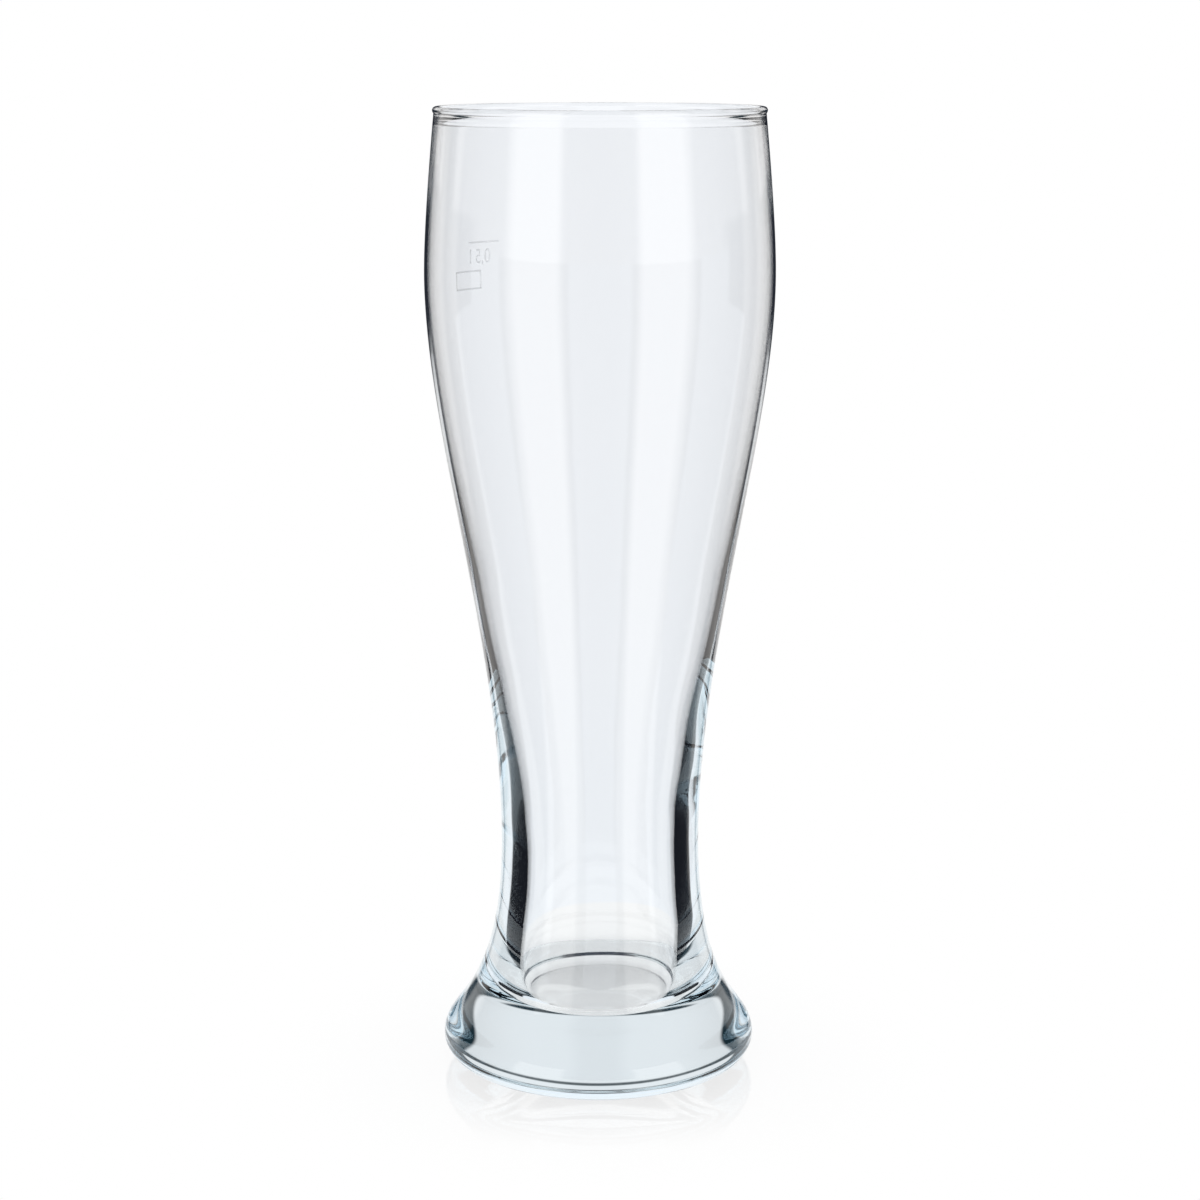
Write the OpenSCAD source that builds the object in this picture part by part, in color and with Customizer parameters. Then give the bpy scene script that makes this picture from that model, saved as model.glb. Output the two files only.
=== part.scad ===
// Tall wheat beer glass for half a litre, pressed and blown in one piece: heavy foot, narrow waist,
// long flared bowl and a fire-polished lip, with its measure marks fired on to the outside

/* [Foot] */
// Widest diameter of the foot
foot_d = 77.9; // [66:0.1:92]
// Height of the widest ring of the foot above the table
foot_edge_h = 7; // [5.5:0.1:8.5]
// Outer diameter of the flat ring that the glass stands on
standing_d = 57.4; // [50:0.1:64]
// Width of that standing ring
standing_w = 3; // [2:0.1:5]
// Depth of the hollow under the foot, at its centre
punt_h = 0.4; // [0.2:0.1:2]
// Height of the bend above the edge of the foot
foot_bend_h = 8; // [6:0.1:11]

/* [Stem] */
// Diameter of the waist, the narrowest place outside
waist_d = 49.2; // [44:0.1:58]
// Height of the waist above the widest ring of the foot
stem_h = 51.3; // [42:0.1:61]
// Length over which the waist curves into the foot
instep_h = 42.3; // [34:0.1:50]
// Length over which the waist curves into the bowl
flare_h = 47.6; // [38:0.1:57]

/* [Bowl] */
// Widest diameter of the bowl
belly_d = 84.4; // [74:0.1:100]
// Height of the widest place of the bowl above the waist
bowl_h = 138.8; // [110:0.1:166]
// Length over which the bowl curves into its widest place
belly_bend_h = 37.6; // [30:0.1:45]

/* [Mouth] */
// Diameter of the outer wall just under the lip
mouth_d = 79; // [70:0.1:92]
// Height of the underside of the lip bead above the widest place
mouth_h = 38.4; // [30:0.1:46]
// Length of the curve that leaves the widest place upwards
belly_roll_h = 9; // [6:0.1:14]
// Length of the nearly straight taper under the lip
mouth_taper_h = 15.4; // [12:0.1:18]
// How far that taper leans in over its length
mouth_lean = 1.5; // [0:0.1:3]
// Diameter of the fire-polished bead that rounds the lip
lip_bead_d = 1.8; // [1.5:0.1:3]

/* [Wall] */
// Thickness of the wall just under the lip
lip_wall = 1.2; // [1:0.1:1.5]
// Thickness of the wall at the widest place, where the blown glass is thinnest
belly_wall = 1; // [0.8:0.1:1.5]
// Thickness of the wall at the waist, where the glass is drawn the least
waist_wall = 6.1; // [5:0.1:7.5]
// Thickness of the heavy bottom, from the table to the floor of the cavity
floor_t = 15.5; // [12:0.1:19]

/* [Cavity] */
// Widest diameter of the cavity above its floor
well_d = 41.3; // [34:0.1:46]
// Width of the rounding between the flat floor and the wall of the cavity
well_round_w = 6.4; // [3:0.1:14]
// Height of that rounding
well_round_h = 7; // [4:0.1:10]
// Length over which the cavity narrows from its widest place to the waist
well_bend_h = 7; // [4:0.1:17]

/* [Measure marks] */
// Direction in which the marks face, turned from the right-hand side
mark_angle = 135; // [0:5:355]
// Height of the lip above the middle of the fill line
line_drop = 34; // [28:0.1:45]
// Length of the fill line round the wall
line_w = 10.4; // [8:0.1:30]
// Breadth of the fired strokes
stroke_w = 0.4; // [0.3:0.1:0.8]
// Thickness of the fired enamel
enamel_t = 0.08; // [0.05:0.01:0.2]
// Clearance between the enamel and the glass under it
mark_gap = 0.02; // [0.01:0.01:0.05]
// Distance from the fill line down to the top of the empty frame
frame_drop = 7; // [5.5:0.1:10]
// Length of the empty frame round the wall
frame_w = 9.9; // [7:0.1:14]
// Height of the empty frame
frame_h = 4.8; // [3.5:0.1:7]
// Distance round the wall from the middle of the fill line to the middle of the frame
frame_shift = 5.6; // [0:0.1:10]

/* [Smoothness] */
// Number of steps along each curve of the outline
curve_steps = 28; // [12:1:40]
// Number of flats round the glass where it is shown as a mesh
round_steps = 360; // [180:12:720]

/* [Hidden] */

$fn = round_steps;

// Fullness of the rounding under the foot and of the one round the cavity's floor, where 2 is an ellipse
edge_fullness_share = 2.1;
floor_fullness_share = 3.4;
// How fast the wall thins from the waist to the widest place
thinning_share = 2;
// How far cutting tools run past what they cut
overrun = 1;

// Heights above the table
waist_z = foot_edge_h + stem_h;
belly_z = waist_z + bowl_h;
lip_join_z = belly_z + mouth_h;

// The bead is a round ring whose middle lies on the middle of the wall
bead_r = lip_bead_d / 2;
bead_join_angle = acos(min(lip_wall, lip_bead_d) / lip_bead_d);
bead_z = lip_join_z + bead_r * sin(bead_join_angle);
bead_middle_r = mouth_d / 2 - lip_wall / 2;
glass_h = bead_z + bead_r;

glass_colour = [0.86, 0.94, 0.97, 0.45];
enamel_colour = [0.80, 0.83, 0.86];

// Point of a cubic curve with two ends and two handles, at share t of its run
function cubic_point(a, b, c, d, t) =
    pow(1 - t, 3) * a + 3 * pow(1 - t, 2) * t * b + 3 * (1 - t) * t * t * c + pow(t, 3) * d;

// Points along a cubic curve, without its first one
function cubic(a, b, c, d) = [for (i = [1:curve_steps]) cubic_point(a, b, c, d, i / curve_steps)];

// Quarter of a full-cornered ellipse round the origin, from the bottom to the right-hand side
function quarter(w, h, fullness) = [
    for (i = [0:curve_steps])
        let (a = 90 * i / curve_steps)
        [w * pow(sin(a), 2 / fullness), -h * pow(cos(a), 2 / fullness)]
];

// Moves every point of a list by the same step
function moved(points, step) = [for (p = points) p + step];

// Thickness of the wall at a height from the waist to the lip
function wall_at(z) = z < belly_z
    ? belly_wall + (waist_wall - belly_wall) * pow((belly_z - z) / bowl_h, thinning_share)
    : belly_wall + (lip_wall - belly_wall) * pow((z - belly_z) / mouth_h, thinning_share);

// Outer wall above the foot's widest ring: into the waist, out to the belly, in to the lip
foot_point = [foot_d / 2, foot_edge_h];
waist_point = [waist_d / 2, waist_z];
belly_point = [belly_d / 2, belly_z];
mouth_point = [mouth_d / 2, lip_join_z];
instep = cubic(foot_point, foot_point + [0, foot_bend_h], waist_point - [0, instep_h], waist_point);
flare = cubic(waist_point, waist_point + [0, flare_h], belly_point - [0, belly_bend_h], belly_point);
mouth = cubic(belly_point, belly_point + [0, belly_roll_h],
    mouth_point + [mouth_lean, -mouth_taper_h], mouth_point);
foot_edge = moved(quarter(foot_d / 2 - standing_d / 2, foot_edge_h, edge_fullness_share),
    [standing_d / 2, foot_edge_h]);
outer_wall = concat(foot_edge, instep, flare, mouth);

// The lip bead, from the outer wall over the top to the inner wall
bead_turn = 180 + 2 * bead_join_angle;
lip = [
    for (i = [1:curve_steps - 1])
        let (a = bead_turn * i / curve_steps - bead_join_angle)
        [bead_middle_r + bead_r * cos(a), bead_z + bead_r * sin(a)]
];

// Inner wall from the waist to the lip, one wall thickness inside the outer one
inner_waist_point = [waist_d / 2 - waist_wall, waist_z];
inner_bowl = [for (p = concat([waist_point], flare, mouth)) p - [wall_at(p.y), 0]];

// The cavity below the waist: it widens to the well and rounds on to the flat floor
well_z = floor_t + well_round_h;
well_point = [well_d / 2, well_z];
waist_flare = thinning_share * (waist_wall - belly_wall) / bowl_h;
neck_run = (waist_z - well_z) / 2;
well_wall = cubic(well_point, well_point + [0, well_bend_h],
    inner_waist_point - [waist_flare * neck_run, neck_run], inner_waist_point);
well_round = moved(quarter(well_round_w, well_round_h, floor_fullness_share),
    well_point - [well_round_w, 0]);
inner_wall = concat([[0, floor_t]], well_round, well_wall,
    [for (i = [1:len(inner_bowl) - 1]) inner_bowl[i]]);

// The hollow under the foot, a shallow dome inside the standing ring
punt_r = standing_d / 2 - standing_w;
punt = [
    for (i = [0:curve_steps])
        let (a = 90 * i / curve_steps)
        [punt_r * sin(a), punt_h * pow(cos(a), 2)]
];

// Radius of the outer wall at a height, and its points between two heights
wall_table = [for (p = outer_wall) [p.y, p.x]];
function outer_r(z) = lookup(z, wall_table);
function wall_stretch(low, high) = concat(
    [[outer_r(low), low]],
    [for (p = outer_wall) if (p.y > low && p.y < high) p],
    [[outer_r(high), high]]
);

// Space inside up to a height, as a stack of cone slices
function slice_volume(a, b) = PI * (b.y - a.y) * (a.x * a.x + a.x * b.x + b.x * b.x) / 3;
function capped(p, q, level) = q.y <= level ? q : p + (q - p) * (level - p.y) / (q.y - p.y);
function capacity(level, i = 1) = i >= len(inner_wall) || inner_wall[i - 1].y >= level
    ? 0
    : slice_volume(inner_wall[i - 1], capped(inner_wall[i - 1], inner_wall[i], level))
        + capacity(level, i + 1);

// Heights of the marks, worked down from the lip
line_z = glass_h - line_drop;
frame_top_z = line_z - frame_drop;
mm3_per_ml = 1000;
echo(glass_height_mm = glass_h);
echo(capacity_to_fill_line_ml = capacity(line_z) / mm3_per_ml);

// A patch along the outer wall: so wide round it, between two heights and two distances from it
module wall_patch(w, low, high, near, far) {
    stretch = wall_stretch(low, high);
    turn = w / outer_r((low + high) / 2) * 180 / PI;
    rotate([0, 0, -turn / 2])
        rotate_extrude(angle = turn)
            polygon(concat(
                [for (p = stretch) p + [near, 0]],
                [for (i = [len(stretch) - 1:-1:0]) stretch[i] + [far, 0]]
            ));
}

// The whole glass: foot, stem, bowl and lip are one piece round one cavity
module glass_body() {
    color(glass_colour)
        rotate_extrude()
            polygon(concat(
                punt,
                outer_wall,
                lip,
                [for (i = [len(inner_wall) - 1:-1:0]) inner_wall[i]]
            ));
}

// The short stroke that the beer must reach under its head
module fill_line() {
    color(enamel_colour)
        rotate([0, 0, mark_angle])
            wall_patch(line_w, line_z - stroke_w / 2, line_z + stroke_w / 2, mark_gap, mark_gap + enamel_t);
}

// The empty rectangular frame below the fill line
module mark_frame() {
    frame_turn = frame_shift / outer_r(frame_top_z) * 180 / PI;
    color(enamel_colour)
        rotate([0, 0, mark_angle + frame_turn])
            difference() {
                wall_patch(frame_w, frame_top_z - frame_h, frame_top_z, mark_gap, mark_gap + enamel_t);
                wall_patch(
                    frame_w - 2 * stroke_w,
                    frame_top_z - frame_h + stroke_w,
                    frame_top_z - stroke_w,
                    -overrun,
                    overrun
                );
            }
}

glass_body();
fill_line();
mark_frame();
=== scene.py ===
"""Looks of a tall half-litre wheat beer glass, in metres, in the frame of its CAD model.

The glass is one closed revolve with a true inner and outer wall, so that light bends through it as it does
through the real one. The measure marks are thin fired strokes on the outside of the back wall.
"""

import logging
import math
from bisect import bisect_left
from dataclasses import dataclass, field
from enum import Enum

import bmesh
import bpy
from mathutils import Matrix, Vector, noise
from mathutils.geometry import interpolate_bezier


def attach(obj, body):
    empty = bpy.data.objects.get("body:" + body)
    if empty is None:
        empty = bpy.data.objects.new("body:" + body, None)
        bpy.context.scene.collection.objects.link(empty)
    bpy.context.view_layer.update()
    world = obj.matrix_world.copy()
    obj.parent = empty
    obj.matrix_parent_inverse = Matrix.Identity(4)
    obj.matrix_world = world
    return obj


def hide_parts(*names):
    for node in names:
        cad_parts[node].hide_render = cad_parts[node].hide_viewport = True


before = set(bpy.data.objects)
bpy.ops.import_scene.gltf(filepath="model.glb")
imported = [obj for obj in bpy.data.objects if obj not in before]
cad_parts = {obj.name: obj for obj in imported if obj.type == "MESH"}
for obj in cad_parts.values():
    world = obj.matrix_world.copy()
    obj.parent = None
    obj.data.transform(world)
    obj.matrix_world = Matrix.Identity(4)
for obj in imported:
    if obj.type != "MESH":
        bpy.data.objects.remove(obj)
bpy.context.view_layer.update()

MM = 0.001
LOG = logging.getLogger("weizen_glass")
UP = Vector((0.0, 0.0, 1.0))
MOST_BOUNCES = 32
MOST_MIRRORED = 16
# Limits that a count of one, and of two, lies above
ONCE = 0.5
TWICE = 1.5

Colour = tuple[float, float, float, float]
Span = tuple[float, float]
Socket = bpy.types.NodeSocket
WHITE: Colour = (1.0, 1.0, 1.0, 1.0)


class Side(Enum):
    """The two faces of the glass wall."""

    OUTSIDE = "outside"
    INSIDE = "inside"


def smooth_step(low: float, high: float, value: float) -> float:
    """Blends smoothly from 0 at low to 1 at high.

    Args:
        low: Where the blend starts.
        high: Where the blend ends.
        value: The place to read it at.

    Returns:
        A share from 0 to 1.
    """
    share = min(max((value - low) / (high - low), 0.0), 1.0)
    return share * share * (3.0 - 2.0 * share)


def cubic_run(start: Vector, out: Vector, back: Vector, end: Vector, steps: int) -> list[Vector]:
    """Samples a cubic curve without its first point.

    Args:
        start: First end of the curve.
        out: Handle that leaves the first end.
        back: Handle that arrives at the last end.
        end: Last end of the curve.
        steps: Number of points to return.

    Returns:
        The points in order.
    """
    return interpolate_bezier(start, out, back, end, steps + 1)[1:]


def quarter_round(width: float, height: float, fullness: float, steps: int) -> list[Vector]:
    """Samples a quarter of a full-cornered ellipse round the origin, from its bottom to its right-hand side.

    Args:
        width: Half width of the ellipse.
        height: Half height of the ellipse.
        fullness: Its exponent, where 2 is a true ellipse.
        steps: Number of steps along the quarter.

    Returns:
        The points in order, one more than the steps.
    """
    power = 2.0 / fullness
    turns = [math.radians(90.0 * i / steps) for i in range(steps + 1)]
    return [Vector((width * math.sin(t) ** power, 0.0, -height * max(math.cos(t), 0.0) ** power)) for t in turns]


class Graph:
    """A node tree with short calls to add and join nodes."""

    def __init__(self, tree: bpy.types.NodeTree) -> None:
        """Empties the tree and keeps it."""
        self.tree = tree
        tree.nodes.clear()

    def add(self, kind: str, inputs: dict | None = None, **settings: object) -> bpy.types.Node:
        """Adds a node.

        Args:
            kind: Blender's name for the type of node.
            inputs: Values or output sockets for the node's inputs, by name or number.
            settings: Properties to set on the node.

        Returns:
            The new node.
        """
        node = self.tree.nodes.new(kind)
        for name, value in settings.items():
            setattr(node, name, value)
        for name, value in (inputs or {}).items():
            if isinstance(value, Socket):
                self.tree.links.new(value, node.inputs[name])
            else:
                node.inputs[name].default_value = value
        return node

    def math(self, operation: str, *values: float | Socket) -> Socket:
        """Adds a math node.

        Args:
            operation: Name of the operation.
            values: Its inputs, as numbers or sockets.

        Returns:
            The socket that holds the result.
        """
        return self.add("ShaderNodeMath", dict(enumerate(values)), operation=operation).outputs[0]

    def product(self, first: float | Socket, *others: float | Socket) -> Socket:
        """Multiplies values.

        Args:
            first: The first value.
            others: The values that it is multiplied by.

        Returns:
            The socket that holds the product.
        """
        for value in others:
            first = self.math("MULTIPLY", first, value)
        return first

    def above(self, value: Socket, limit: float) -> Socket:
        """Gives 1 where a value is greater than a limit, and 0 elsewhere."""
        return self.math("GREATER_THAN", value, limit)

    def rest(self, value: float | Socket) -> Socket:
        """Gives what a share leaves of 1."""
        return self.math("SUBTRACT", 1.0, value)

    def ramp(self, value: Socket, span: Span, first: float = 0.0, last: float = 1.0) -> Socket:
        """Adds a smooth map from one range to another.

        Args:
            value: The value to map.
            span: Start and end of its range.
            first: Result at the start.
            last: Result at the end.

        Returns:
            The socket that holds the result.
        """
        inputs = {0: value, 1: span[0], 2: span[1], 3: first, 4: last}
        return self.add("ShaderNodeMapRange", inputs, interpolation_type="SMOOTHSTEP").outputs[0]

    def blend(self, share: float | Socket, first: Colour | Socket, last: Colour | Socket) -> Socket:
        """Adds a mix of two colours.

        Args:
            share: How much of the last colour shows.
            first: The first colour, as a value or a socket.
            last: The last colour, as a value or a socket.

        Returns:
            The socket that holds the mixed colour.
        """
        node = self.add("ShaderNodeMix", {"Factor": share}, data_type="RGBA")
        for name, value in (("A", first), ("B", last)):
            socket = next(s for s in node.inputs if s.name == name and s.type == "RGBA")
            if isinstance(value, Socket):
                self.tree.links.new(value, socket)
            else:
                socket.default_value = value
        return next(s for s in node.outputs if s.type == "RGBA")

    def mix(self, share: float | Socket, first: Socket, last: Socket) -> Socket:
        """Adds a mix of two shaders.

        Args:
            share: How much of the last shader shows.
            first: The first shader.
            last: The last shader.

        Returns:
            The socket that holds the mixed shader.
        """
        return self.add("ShaderNodeMixShader", {0: share, 1: first, 2: last}).outputs[0]

    def grain(self, size: float, detail: float) -> Socket:
        """Adds a noise that sits still on its piece.

        Args:
            size: Size of its grains in metres.
            detail: How many finer layers it has.

        Returns:
            The socket that holds the noise.
        """
        place = self.add("ShaderNodeTexCoord").outputs["Object"]
        return self.add("ShaderNodeTexNoise", {"Vector": place, "Scale": 1.0 / size, "Detail": detail}).outputs[0]

    def bump(self, height: float, pattern: Socket) -> Socket:
        """Adds a bump.

        Args:
            height: Height of the bump in metres.
            pattern: The socket that holds its pattern.

        Returns:
            The socket that holds the turned normal.
        """
        return self.add("ShaderNodeBump", {"Strength": 1.0, "Distance": height, "Height": pattern}).outputs[0]


def piece_of(mesh: bmesh.types.BMesh, name: str) -> bpy.types.Object:
    """Turns a finished mesh into a smooth-shaded object of the scene.

    Args:
        mesh: The mesh, in metres; it is freed.
        name: Name of the object.

    Returns:
        The object, at the origin.
    """
    for face in mesh.faces:
        face.smooth = True
    data = bpy.data.meshes.new(name)
    mesh.to_mesh(data)
    mesh.free()
    piece = bpy.data.objects.new(name, data)
    bpy.context.scene.collection.objects.link(piece)
    return piece


@dataclass(frozen=True)
class ClearGlass:
    """Clear pressed soda-lime glass with a faint blue-green body colour."""

    index: float = 1.52
    absorbed_per_metre: float = 2.2
    passed_colour: Colour = (0.16, 0.71, 0.97, 1.0)
    wave_size: float = 14.0 * MM
    wave_height: float = 0.003 * MM
    wave_detail: float = 1.0

    def material(self) -> bpy.types.Material:
        """Builds the finish.

        Returns:
            The material, with a body colour that deepens with the thickness of the glass.
        """
        made = bpy.data.materials.new("clear_glass")
        made.use_nodes = True
        graph = Graph(made.node_tree)
        waves = graph.grain(self.wave_size, self.wave_detail)
        surface = graph.add("ShaderNodeBsdfPrincipled", {
            "Base Color": WHITE,
            "Roughness": 0.0,
            "IOR": self.index,
            "Transmission Weight": 1.0,
            "Normal": graph.bump(self.wave_height, waves),
        }).outputs[0]
        volume = graph.add("ShaderNodeVolumeAbsorption", {
            "Color": self.passed_colour,
            "Density": self.absorbed_per_metre,
        }).outputs[0]
        graph.add("ShaderNodeOutputMaterial", {"Surface": surface, "Volume": volume})
        return made


@dataclass(frozen=True)
class FiredEnamel:
    """Thin, clear and slightly frosted enamel, fired on so that it lets most of the light through."""

    colour: Colour = (0.97, 0.98, 1.0, 1.0)
    index: float = 1.5
    passed: float = 0.96
    sheer: float = 0.7
    roughness_low: float = 0.10
    roughness_high: float = 0.22
    grain_span: Span = (0.3, 0.7)
    grain_size: float = 0.6 * MM
    grain_height: float = 0.004 * MM
    grain_detail: float = 3.0

    def material(self) -> bpy.types.Material:
        """Builds the finish.

        Returns:
            The material, with a grain that breaks up its gloss.
        """
        made = bpy.data.materials.new("fired_enamel")
        made.use_nodes = True
        graph = Graph(made.node_tree)
        grain = graph.grain(self.grain_size, self.grain_detail)
        surface = graph.add("ShaderNodeBsdfPrincipled", {
            "Base Color": self.colour,
            "Roughness": graph.ramp(grain, self.grain_span, self.roughness_low, self.roughness_high),
            "IOR": self.index,
            "Transmission Weight": self.passed,
            "Normal": graph.bump(self.grain_height, grain),
        }).outputs[0]
        clear = graph.add("ShaderNodeBsdfTransparent").outputs[0]
        graph.add("ShaderNodeOutputMaterial", {"Surface": graph.mix(self.sheer, surface, clear)})
        return made


@dataclass(frozen=True)
class Thinning:
    """How much thinner than it was drawn one side of the wall is, along its height, in millimetres."""

    start: float
    changes: tuple[tuple[float, float, float], ...]

    def at(self, z: float) -> float:
        """Reads the thinning.

        Args:
            z: Height above the table.

        Returns:
            The thinning there, after each change that runs from one height to another by an amount.
        """
        thinned = self.start
        for low, high, amount in self.changes:
            thinned += amount * smooth_step(low, high, z)
        return thinned


@dataclass
class GlassBody:
    """Foot, stem, bowl and lip in one piece of glass; sizes in millimetres, as in the CAD model."""

    foot_d: float = 77.9
    foot_edge_h: float = 7.0
    standing_d: float = 57.4
    standing_w: float = 3.0
    punt_h: float = 0.2
    foot_bend_h: float = 8.0
    waist_d: float = 49.2
    stem_h: float = 51.3
    instep_h: float = 42.3
    flare_h: float = 47.6
    belly_d: float = 84.4
    bowl_h: float = 138.8
    belly_bend_h: float = 37.6
    mouth_d: float = 79.0
    mouth_h: float = 38.4
    belly_roll_h: float = 9.0
    mouth_taper_h: float = 15.4
    mouth_lean: float = 1.5
    lip_bead_d: float = 1.8
    lip_wall: float = 1.2
    belly_wall: float = 1.0
    waist_wall: float = 6.1
    floor_t: float = 15.5
    well_d: float = 41.3
    well_round_w: float = 6.4
    well_round_h: float = 7.0
    well_bend_h: float = 7.0
    edge_fullness: float = 2.1
    floor_fullness: float = 3.4
    thinning_power: float = 2.0
    foot_shift: float = 0.4
    foot_shift_span: Span = (12.0, 45.0)
    wave_size: float = 16.0
    wave_height: float = 0.03
    wave_depth: float = 1.3
    pressed_waves: float = 0.04
    blown_span: Span = (85.0, 130.0)
    left: Thinning = Thinning(0.22, ((64.0, 94.0, 0.68), (104.0, 128.0, -0.47), (148.0, 175.0, -0.13)))
    right: Thinning = Thinning(0.6, ((46.0, 68.0, -0.5), (66.0, 78.0, 0.18), (84.0, 104.0, 0.42),
                                     (104.0, 128.0, -0.25), (148.0, 175.0, -0.05)))
    thinning_span: Span = (24.0, 38.0)
    table_span: Span = (1.0, 4.0)
    true_mouth_h: float = 25.0
    floor_slack: float = 0.01
    weld: float = 0.0005
    turns: int = 216
    steps: dict[str, int] = field(default_factory=lambda: {
        "punt": 20, "edge": 24, "instep": 70, "flare": 106, "mouth": 16, "lip": 14, "well": 50, "floor": 24,
        "flat": 4})

    def __post_init__(self) -> None:
        """Works out the heights and the turning points of the walls."""
        self.waist_z = self.foot_edge_h + self.stem_h
        self.belly_z = self.waist_z + self.bowl_h
        self.join_z = self.belly_z + self.mouth_h
        self.bead_r = self.lip_bead_d / 2.0
        self.bead_turn = math.acos(self.lip_wall / self.lip_bead_d)
        self.bead_z = self.join_z + self.bead_r * math.sin(self.bead_turn)
        self.height = self.bead_z + self.bead_r
        self.tables = {Side.OUTSIDE: self.outer_wall(), Side.INSIDE: self.inner_wall()}

    def wall(self, z: float) -> float:
        """Gives the thickness of the wall.

        Args:
            z: Height from the waist to the lip.

        Returns:
            The thickness there.
        """
        if z < self.belly_z:
            share = (self.belly_z - z) / self.bowl_h
            return self.belly_wall + (self.waist_wall - self.belly_wall) * share ** self.thinning_power
        share = (z - self.belly_z) / self.mouth_h
        return self.belly_wall + (self.lip_wall - self.belly_wall) * share ** self.thinning_power

    def bowl_curve(self) -> list[Vector]:
        """Gives the outer wall from the waist to the lip, without the waist itself."""
        waist = Vector((self.waist_d / 2.0, 0.0, self.waist_z))
        belly = Vector((self.belly_d / 2.0, 0.0, self.belly_z))
        mouth = Vector((self.mouth_d / 2.0, 0.0, self.join_z))
        lean = Vector((self.mouth_lean, 0.0, -self.mouth_taper_h))
        flare = cubic_run(waist, waist + UP * self.flare_h, belly - UP * self.belly_bend_h, belly,
                          self.steps["flare"])
        return flare + cubic_run(belly, belly + UP * self.belly_roll_h, mouth + lean, mouth, self.steps["mouth"])

    def outer_wall(self) -> list[Vector]:
        """Gives the outer wall from the standing ring to the lip."""
        edge_w = (self.foot_d - self.standing_d) / 2.0
        step = Vector((self.standing_d / 2.0, 0.0, self.foot_edge_h))
        edge = [p + step for p in quarter_round(edge_w, self.foot_edge_h, self.edge_fullness, self.steps["edge"])]
        foot = edge[-1]
        waist = Vector((self.waist_d / 2.0, 0.0, self.waist_z))
        instep = cubic_run(foot, foot + UP * self.foot_bend_h, waist - UP * self.instep_h, waist,
                           self.steps["instep"])
        return edge + instep + self.bowl_curve()

    def lip(self) -> list[Vector]:
        """Gives the rounded bead of the lip, from the outer wall to the inner one."""
        middle = Vector((self.mouth_d / 2.0 - self.lip_wall / 2.0, 0.0, self.bead_z))
        count = self.steps["lip"]
        whole = math.pi + 2.0 * self.bead_turn
        turns = [whole * i / count - self.bead_turn for i in range(1, count)]
        return [middle + self.bead_r * Vector((math.cos(t), 0.0, math.sin(t))) for t in turns]

    def inner_wall(self) -> list[Vector]:
        """Gives the inner wall from the middle of the cavity's floor to the lip."""
        well_z = self.floor_t + self.well_round_h
        step = Vector((self.well_d / 2.0 - self.well_round_w, 0.0, well_z))
        corner = [p + step for p in quarter_round(self.well_round_w, self.well_round_h, self.floor_fullness,
                                                  self.steps["floor"])]
        count = self.steps["flat"]
        flat = [Vector((step.x * i / count, 0.0, self.floor_t)) for i in range(count)]
        floor = flat + corner
        waist = Vector((self.waist_d / 2.0 - self.waist_wall, 0.0, self.waist_z))
        slope = self.thinning_power * (self.waist_wall - self.belly_wall) / self.bowl_h
        run = (self.waist_z - well_z) / 2.0
        well = cubic_run(floor[-1], floor[-1] + UP * self.well_bend_h, waist - Vector((slope * run, 0.0, run)),
                         waist, self.steps["well"])
        bowl = [p - Vector((self.wall(p.z), 0.0, 0.0)) for p in self.bowl_curve()]
        return floor + well + bowl

    def punt(self) -> list[Vector]:
        """Gives the hollow under the foot, from its middle to the standing ring."""
        radius = self.standing_d / 2.0 - self.standing_w
        count = self.steps["punt"]
        turns = [math.radians(90.0 * i / count) for i in range(count + 1)]
        return [Vector((radius * math.sin(t), 0.0, self.punt_h * math.cos(t) ** 2)) for t in turns]

    def radius(self, z: float, side: Side) -> float:
        """Reads the radius of a wall.

        Args:
            z: Height above the table.
            side: The face of the wall.

        Returns:
            The radius of that face there.
        """
        points = self.tables[side]
        i = min(max(bisect_left(points, z, key=lambda p: p.z), 1), len(points) - 1)
        low, high = points[i - 1], points[i]
        share = min(max((z - low.z) / max(high.z - low.z, 1e-9), 0.0), 1.0)
        return low.x + (high.x - low.x) * share

    def side_of(self, place: Vector) -> Side:
        """Tells which face of the wall a point of the surface belongs to."""
        middle = (self.radius(place.z, Side.OUTSIDE) + self.radius(place.z, Side.INSIDE)) / 2.0
        inside = place.z > self.floor_t - self.floor_slack and math.hypot(place.x, place.y) < middle
        return Side.INSIDE if inside else Side.OUTSIDE

    def drift(self, place: Vector, side: Side) -> Vector:
        """Gives how far the pressed and blown glass strays from a true body of revolution.

        Args:
            place: A point of the surface.
            side: The face of the wall that it is on.

        Returns:
            The step from the true body to the real one: the foot sits a little to the left, the wall is
            thinner than drawn, by other amounts on its left and its right, and both faces have soft waves.
        """
        across = Vector((place.x, place.y, 0.0))
        way = across.normalized()
        blown = smooth_step(*self.blown_span, place.z)
        waves = (self.pressed_waves + (1.0 - self.pressed_waves) * blown) * noise.noise(place / self.wave_size)
        outwards = self.wave_height * (waves - self.wave_depth)
        if side is Side.INSIDE:
            thinned = (self.right.at(place.z) * (1.0 + way.x) + self.left.at(place.z) * (1.0 - way.x)) / 2.0
            outwards += thinned * smooth_step(*self.thinning_span, place.z)
        outwards *= smooth_step(*self.table_span, place.z)
        outwards *= 1.0 - smooth_step(self.join_z - self.true_mouth_h, self.join_z, place.z)
        leftwards = self.foot_shift * (1.0 - smooth_step(*self.foot_shift_span, place.z))
        return way * outwards - Vector((leftwards, 0.0, 0.0))

    def outline(self) -> list[Vector]:
        """Gives the whole section, from the middle of the punt to the middle of the cavity's floor."""
        return self.punt() + self.outer_wall() + self.lip() + self.inner_wall()[::-1]

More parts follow.
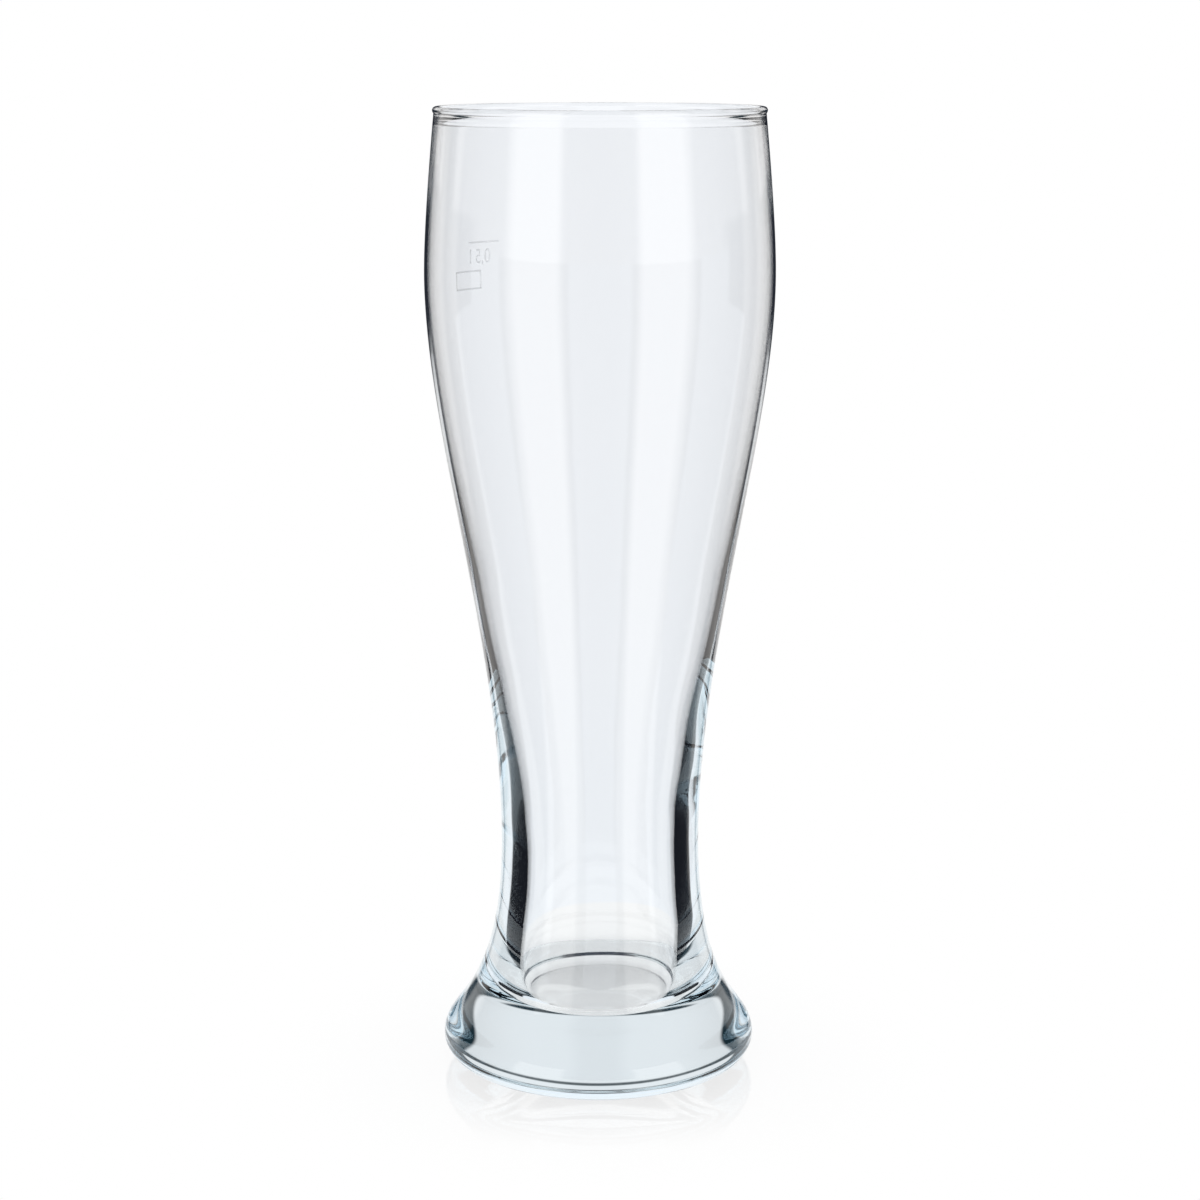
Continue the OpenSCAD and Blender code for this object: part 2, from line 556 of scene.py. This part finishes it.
    def build(self) -> bpy.types.Object:
        """Turns the section into the closed body.

        Returns:
            The piece, in metres.
        """
        mesh = bmesh.new()
        points = [mesh.verts.new(p * MM) for p in self.outline()]
        edges = [mesh.edges.new(pair) for pair in zip(points, points[1:])]
        bmesh.ops.spin(mesh, geom=points + edges, cent=(0, 0, 0), axis=(0, 0, 1), angle=2.0 * math.pi,
                       steps=self.turns, use_merge=True)
        bmesh.ops.remove_doubles(mesh, verts=mesh.verts, dist=self.weld * MM)
        bmesh.ops.recalc_face_normals(mesh, faces=mesh.faces)
        for vert in mesh.verts:
            place = vert.co / MM
            vert.co = (place + self.drift(place, self.side_of(place))) * MM
        return piece_of(mesh, "glass")


@dataclass
class MeasureMarks:
    """The marks fired on to the outside of the back wall; sizes in millimetres, as in the CAD model."""

    glass: GlassBody
    azimuth: float = 135.0
    line_drop: float = 34.0
    line_w: float = 10.4
    stroke_w: float = 0.4
    enamel_t: float = 0.08
    mark_gap: float = 0.02
    frame_drop: float = 7.0
    frame_w: float = 9.9
    frame_h: float = 4.8
    frame_shift: float = 5.6
    figure: str = "0,5 l"
    figure_w: float = 7.2
    figure_h: float = 4.2
    figure_drop: float = 1.7
    figure_shift: float = 1.0
    figure_resolution: int = 6
    slice_w: float = 0.5
    corner_share: float = 0.3
    corner_segments: int = 3
    cut_slack: float = 1e-5
    weld: float = 0.0001

    def __post_init__(self) -> None:
        """Works out the heights of the marks, down from the lip."""
        self.line_z = self.glass.height - self.line_drop
        self.frame_top = self.line_z - self.frame_drop

    def bend(self, mesh: bmesh.types.BMesh, shift: float, middle: float, width: float) -> None:
        """Lays a flat mark round the wall.

        Args:
            mesh: The mark in millimetres, with x to the right, z up and y out of the wall.
            shift: Distance round the wall from the middle of the fill line.
            middle: Height of the middle of the mark.
            width: Width of the mark, which is cut into slices so that it can bend.
        """
        count = int(width / self.slice_w)
        for i in range(1, count):
            plane = Vector((width * (i / count - 0.5), 0.0, 0.0))
            bmesh.ops.bisect_plane(mesh, geom=mesh.verts[:] + mesh.edges[:] + mesh.faces[:], dist=self.cut_slack,
                                   plane_co=plane, plane_no=(1.0, 0.0, 0.0))
        around = self.glass.radius(middle, Side.OUTSIDE)
        for vert in mesh.verts:
            turn = math.radians(self.azimuth) + (shift + vert.co.x) / around
            z = middle + vert.co.z
            foot = Vector((math.cos(turn), math.sin(turn), 0.0))
            place = foot * self.glass.radius(z, Side.OUTSIDE) + Vector((0.0, 0.0, z))
            place += self.glass.drift(place, Side.OUTSIDE)
            vert.co = (place + foot * (self.mark_gap + vert.co.y)) * MM
        bmesh.ops.remove_doubles(mesh, verts=mesh.verts, dist=self.weld * MM)
        bmesh.ops.recalc_face_normals(mesh, faces=mesh.faces)

    def plate(self, width: float, height: float) -> bmesh.types.BMesh:
        """Makes a flat rectangle that stands in the plane of the wall.

        Args:
            width: Its width.
            height: Its height.

        Returns:
            The mesh, with its corners eased.
        """
        mesh = bmesh.new()
        bmesh.ops.create_grid(mesh, x_segments=1, y_segments=1, size=0.5)
        for vert in mesh.verts:
            vert.co = Vector((vert.co.x * width, 0.0, vert.co.y * height))
        bmesh.ops.bevel(mesh, geom=mesh.verts[:], offset=self.stroke_w * self.corner_share,
                        segments=self.corner_segments, profile=0.5, affect="VERTICES")
        return mesh

    def thicken(self, mesh: bmesh.types.BMesh) -> None:
        """Gives a flat mark the thickness of the enamel, on the side away from the glass."""
        made = bmesh.ops.extrude_face_region(mesh, geom=mesh.faces[:])["geom"]
        risen = [item for item in made if isinstance(item, bmesh.types.BMVert)]
        bmesh.ops.translate(mesh, verts=risen, vec=(0.0, self.enamel_t, 0.0))

    def fill_line(self) -> bpy.types.Object:
        """Builds the short stroke that the beer must reach."""
        mesh = self.plate(self.line_w, self.stroke_w)
        self.thicken(mesh)
        self.bend(mesh, 0.0, self.line_z, self.line_w)
        return piece_of(mesh, "fill_stroke")

    def frame(self) -> bpy.types.Object:
        """Builds the empty rectangular frame below the fill line."""
        mesh = self.plate(self.frame_w, self.frame_h)
        bmesh.ops.inset_individual(mesh, faces=mesh.faces[:], thickness=self.stroke_w, use_even_offset=True)
        inner = max(mesh.faces, key=lambda face: face.calc_area())
        bmesh.ops.delete(mesh, geom=[inner], context="FACES")
        self.thicken(mesh)
        self.bend(mesh, self.frame_shift, self.frame_top - self.frame_h / 2.0, self.frame_w)
        return piece_of(mesh, "frame_stroke")

    def measure(self) -> bpy.types.Object:
        """Builds the figure of the measure between the fill line and the frame."""
        curve = bpy.data.curves.new("figure", "FONT")
        curve.body = self.figure
        curve.resolution_u = self.figure_resolution
        curve.extrude = self.enamel_t / 2.0
        source = bpy.data.objects.new("figure", curve)
        bpy.context.scene.collection.objects.link(source)
        bpy.context.view_layer.update()
        mesh = bmesh.new()
        mesh.from_mesh(source.to_mesh())
        bpy.data.objects.remove(source)
        bpy.data.curves.remove(curve)
        bmesh.ops.remove_doubles(mesh, verts=mesh.verts, dist=self.cut_slack)
        low = Vector([min(v.co[i] for v in mesh.verts) for i in range(2)])
        high = Vector([max(v.co[i] for v in mesh.verts) for i in range(2)])
        middle = (low + high) / 2.0
        scale = Vector((self.figure_w / (high.x - low.x), self.figure_h / (high.y - low.y)))
        for vert in mesh.verts:
            flat = Vector(((vert.co.x - middle.x) * scale.x, (vert.co.y - middle.y) * scale.y))
            vert.co = Vector((flat.x, vert.co.z + self.enamel_t / 2.0, flat.y))
        self.bend(mesh, self.figure_shift, self.line_z - self.figure_drop - self.figure_h / 2.0, self.figure_w)
        return piece_of(mesh, "measure_figure")


@dataclass
class PhotoCamera:
    """The camera of the photograph, in front of the glass and a little above its lip."""

    distance: float = 0.6682
    height: float = 0.2535
    tilt: float = math.radians(11.50)
    lens: float = 83.25
    sensor_width: float = 36.0
    clip_start: float = 0.01

    def place(self) -> None:
        """Sets the camera up at the photograph's viewing angle."""
        data = bpy.data.cameras.new("camera")
        data.lens = self.lens
        data.sensor_width = self.sensor_width
        data.clip_start = self.clip_start
        camera = bpy.data.objects.new("camera", data)
        camera.location = (0.0, -self.distance, self.height)
        camera.rotation_euler = (math.pi / 2.0 - self.tilt, 0.0, 0.0)
        bpy.context.scene.collection.objects.link(camera)
        bpy.context.scene.camera = camera


@dataclass(frozen=True)
class Direction:
    """Where a ray leaves to: its three parts, and the cosine of four times its azimuth, which is 1 on each axis."""

    x: Socket
    y: Socket
    z: Socket
    four: Socket


@dataclass
class Surroundings:
    """The studio all round the glass: a white sweep behind it, and soft boxes and dark flags beside it.

    Rays are told apart by how often they were mirrored and how often they passed a surface, because the real studio
    has near things at different distances, which a far world can't show. Spans of x, y and z are parts of the
    direction, and spans of the sides are values of the cosine of four times the azimuth.
    """

    seen_through: Colour = (0.96, 0.985, 1.02, 1.0)
    backdrop: Colour = (0.90, 0.95, 1.0, 1.0)
    backdrop_above: Colour = (0.90, 0.89, 0.89, 1.0)
    flag: Colour = (0.008, 0.009, 0.012, 1.0)
    ceiling: Colour = (0.012, 0.03, 0.04, 1.0)
    box: Colour = (0.73, 0.71, 0.69, 1.0)
    room: Colour = (0.03, 0.035, 0.05, 1.0)

    one_wall_passes: float = 2.0
    one_wall_slack: float = 1.1

    near_strength: float = 2.0
    far_strength: float = 1.3
    near_to_far_y: Span = (-0.2, 0.2)
    box_sides: Span = (-0.5, -0.05)
    far_box_narrowing: float = 0.42
    sweep_y: Span = (0.6, 0.7)
    sweep_sides: Span = (-0.45, -0.15)
    sweep_z: Span = (0.12, 0.18)
    overhead_z: Span = (0.46, 0.50)

    back_to_front_y: Span = (-0.1, 0.1)
    inner_box_sides: Span = (-0.5, 0.0)
    flag_sides: Span = (0.0, 0.25)
    flag_close_z: Span = (-0.17, -0.13)
    again_z: Span = (-0.36, -0.28)
    again_dark: Span = (1.0, 0.4)
    again_back_y: Span = (-0.1, 0.0)

    window_front_y: Span = (-0.05, 0.05)
    window_edge: Span = (0.70, 0.75)
    window_flag_end: Span = (0.88, 0.93)
    window_top_z: Span = (0.52, 0.58)
    window_top_end_z: Span = (0.72, 0.80)
    window_top_edge: Span = (0.55, 0.65)
    window_middle: Span = (0.06, 0.16)
    window_middle_light: float = 0.94
    window_fade: Span = (0.30, 0.72)
    window_fade_light: float = 0.92
    horizon_z: Span = (0.035, 0.07)

    def place(self) -> None:
        """Lights the studio from all round, white behind the glass and dark beside it."""
        world = bpy.data.worlds.new("studio")
        bpy.context.scene.world = world
        world.use_nodes = True
        graph = Graph(world.node_tree)
        path = graph.add("ShaderNodeLightPath").outputs
        mirrored, passed = path["Glossy Depth"], path["Transmission Depth"]
        parts = graph.add("ShaderNodeSeparateXYZ", {0: graph.add("ShaderNodeTexCoord").outputs["Generated"]}).outputs
        azimuth = graph.math("ARCTAN2", parts["Y"], parts["X"])
        four = graph.math("COSINE", graph.product(azimuth, 4.0))
        way = Direction(parts["X"], parts["Y"], parts["Z"], four)
        one_wall = graph.math("COMPARE", passed, self.one_wall_passes, self.one_wall_slack)
        boxes = self.inner_boxes(graph, way)
        below = graph.blend(one_wall, boxes, self.turned(graph, way, graph.above(mirrored, TWICE)))
        above = graph.blend(one_wall, boxes, self.window(graph, way))
        glass = graph.blend(graph.above(way.z, 0.0), below, above)
        outside = graph.math("LESS_THAN", passed, ONCE)
        colour = graph.blend(outside, glass, self.front(graph, way))
        colour = graph.blend(graph.above(mirrored, ONCE), self.seen_through, colour)
        for ray in ("Is Camera Ray", "Is Diffuse Ray"):
            colour = graph.blend(path[ray], colour, WHITE)
        light = graph.add("ShaderNodeBackground", {"Color": colour, "Strength": 1.0})
        graph.add("ShaderNodeOutputWorld", {"Surface": light.outputs[0]})

    def inner_boxes(self, graph: Graph, way: Direction) -> Socket:
        """Gives what shows in a mirroring face of one wall: a soft box at each corner of a dark room.

        Args:
            graph: The world's node tree.
            way: The direction.

        Returns:
            The socket that holds the colour.
        """
        return graph.blend(graph.ramp(way.four, self.inner_box_sides, 1.0, 0.0), self.room, self.box)

    def turned(self, graph: Graph, way: Direction, again: Socket) -> Socket:
        """Gives the light that a wall turns down and out: dark flags between four bright sides.

        Args:
            graph: The world's node tree.
            way: The direction; ahead, the flags close in towards the horizon.
            again: 1 where the wall turns the light more than once, which is darker ahead and light behind.

        Returns:
            The socket that holds the colour.
        """
        closing = graph.product(graph.ramp(way.z, self.flag_close_z), graph.ramp(way.y, self.back_to_front_y))
        sides = graph.math("SUBTRACT", way.four, closing)
        colour = graph.blend(graph.ramp(sides, self.flag_sides), self.flag, self.backdrop)
        once = graph.rest(graph.product(again, graph.ramp(way.z, self.again_z, *self.again_dark)))
        back = graph.product(again, graph.ramp(way.y, self.again_back_y, 1.0, 0.0))
        return graph.blend(back, graph.blend(once, self.flag, colour), self.backdrop)

    def window(self, graph: Graph, way: Direction) -> Socket:
        """Gives the light that enters the foot from above: the backdrop up to its edges, and dark round it.

        Args:
            graph: The world's node tree.
            way: The direction.

        Returns:
            The socket that holds the colour.
        """
        level = graph.math("SQRT", graph.rest(graph.math("POWER", way.z, 2.0)))
        aside = graph.math("DIVIDE", graph.math("ABSOLUTE", way.x), level)
        flags = graph.product(graph.ramp(aside, self.window_edge), graph.ramp(aside, self.window_flag_end, 1.0, 0.0))
        top = graph.product(graph.ramp(way.z, self.window_top_z), graph.ramp(way.z, self.window_top_end_z, 1.0, 0.0),
                            graph.ramp(aside, self.window_top_edge, 1.0, 0.0))
        dark = graph.product(graph.math("MAXIMUM", flags, top), graph.ramp(way.y, self.window_front_y))
        even = graph.product(graph.ramp(aside, self.window_middle, self.window_middle_light, 1.0),
                             graph.ramp(aside, self.window_fade, 1.0, self.window_fade_light))
        gap = graph.product(graph.ramp(way.z, self.horizon_z, 1.0, 0.0), graph.ramp(way.y, self.back_to_front_y))
        lit = graph.product(even, graph.rest(graph.math("MAXIMUM", dark, gap)))
        return graph.blend(lit, self.ceiling, self.backdrop_above)

    def front(self, graph: Graph, way: Direction) -> Socket:
        """Gives what the outside of the glass and the table mirror.

        Ahead it is the white sweep, with a dark gap at the height of the horizon and the dark room overhead, and all
        round there are tall soft boxes in a dark room, the strongest beside the camera.

        Args:
            graph: The world's node tree.
            way: The direction.

        Returns:
            The socket that holds the colour.
        """
        strength = graph.ramp(way.y, self.near_to_far_y, self.near_strength, self.far_strength)
        lamp = graph.add("ShaderNodeVectorMath", {0: self.box[:3], "Scale": strength}, operation="SCALE").outputs[0]
        narrowing = graph.ramp(way.y, self.near_to_far_y, 0.0, self.far_box_narrowing)
        sides = graph.math("ADD", way.four, narrowing)
        boxes = graph.blend(graph.ramp(sides, self.box_sides, 1.0, 0.0), self.room, lamp)
        sweep = graph.product(graph.ramp(way.y, self.sweep_y), graph.ramp(way.four, self.sweep_sides),
                              graph.ramp(graph.math("ABSOLUTE", way.z), self.sweep_z))
        lit = graph.blend(sweep, boxes, WHITE)
        return graph.blend(graph.ramp(way.z, self.overhead_z), lit, self.room)


@dataclass
class TableTop:
    """The pale, slightly glossy table top under the glass."""

    radius: float = 0.10
    segments: int = 96
    gap: float = 0.02 * MM
    glow: float = 0.9
    glow_span: Span = (0.05, 0.09)
    gloss: float = 0.14
    gloss_span: Span = (0.035, 0.066)
    under_glass_r: float = 0.04

    def material(self) -> bpy.types.Material:
        """Builds the finish.

        Returns:
            The material: shaded and glossy near the glass and plain white away from it, and clear beside the foot to
            the light that the glass has turned, which in the studio comes from lower down.
        """
        made = bpy.data.materials.new("table")
        made.use_nodes = True
        graph = Graph(made.node_tree)
        place = graph.add("ShaderNodeTexCoord").outputs["Object"]
        away = graph.add("ShaderNodeVectorMath", {0: place}, operation="LENGTH").outputs["Value"]
        glow = graph.add("ShaderNodeEmission", {"Color": WHITE, "Strength": 1.0}).outputs[0]
        matt = graph.add("ShaderNodeBsdfDiffuse", {"Color": WHITE}).outputs[0]
        gloss = graph.add("ShaderNodeBsdfGlossy", {"Color": WHITE, "Roughness": 0.0}).outputs[0]
        clear = graph.add("ShaderNodeBsdfTransparent").outputs[0]
        pale = graph.mix(graph.ramp(away, self.glow_span, self.glow, 1.0), matt, glow)
        pale = graph.mix(graph.ramp(away, self.gloss_span, self.gloss, 0.0), pale, gloss)
        path = graph.add("ShaderNodeLightPath").outputs
        turned = graph.math("MINIMUM", graph.above(path["Glossy Depth"], ONCE),
                            graph.above(path["Transmission Depth"], TWICE))
        beside = graph.product(turned, graph.above(away, self.under_glass_r))
        graph.add("ShaderNodeOutputMaterial", {"Surface": graph.mix(beside, pale, clear)})
        return made

    def lay(self) -> None:
        """Lays the table top, a hair below the glass."""
        mesh = bmesh.new()
        bmesh.ops.create_circle(mesh, cap_ends=True, segments=self.segments, radius=self.radius)
        bmesh.ops.translate(mesh, verts=mesh.verts, vec=(0.0, 0.0, -self.gap))
        data = bpy.data.meshes.new("table")
        mesh.to_mesh(data)
        mesh.free()
        data.materials.append(self.material())
        table = bpy.data.objects.new("table", data)
        bpy.context.scene.collection.objects.link(table)


def main() -> None:
    logging.basicConfig(level=logging.INFO, format="%(name)s: %(message)s")
    glass = GlassBody()
    body = glass.build()
    body.data.materials.append(ClearGlass().material())
    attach(body, "root")
    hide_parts("glass_body")
    LOG.info("glass: %d faces, %.1f mm tall", len(body.data.polygons), glass.height)
    marks = MeasureMarks(glass)
    enamel = FiredEnamel().material()
    for piece, node in ((marks.fill_line(), "fill_line"), (marks.frame(), "mark_frame"), (marks.measure(), None)):
        piece.data.materials.append(enamel)
        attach(piece, "root")
        if node:
            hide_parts(node)
        LOG.info("%s: %d faces", piece.name, len(piece.data.polygons))
    PhotoCamera().place()
    Surroundings().place()
    TableTop().lay()
    scene = bpy.context.scene
    scene.view_settings.view_transform = "Standard"
    scene.cycles.max_bounces = MOST_BOUNCES
    scene.cycles.glossy_bounces = MOST_MIRRORED
    scene.cycles.transmission_bounces = MOST_BOUNCES


if __name__ == "__main__":
    main()
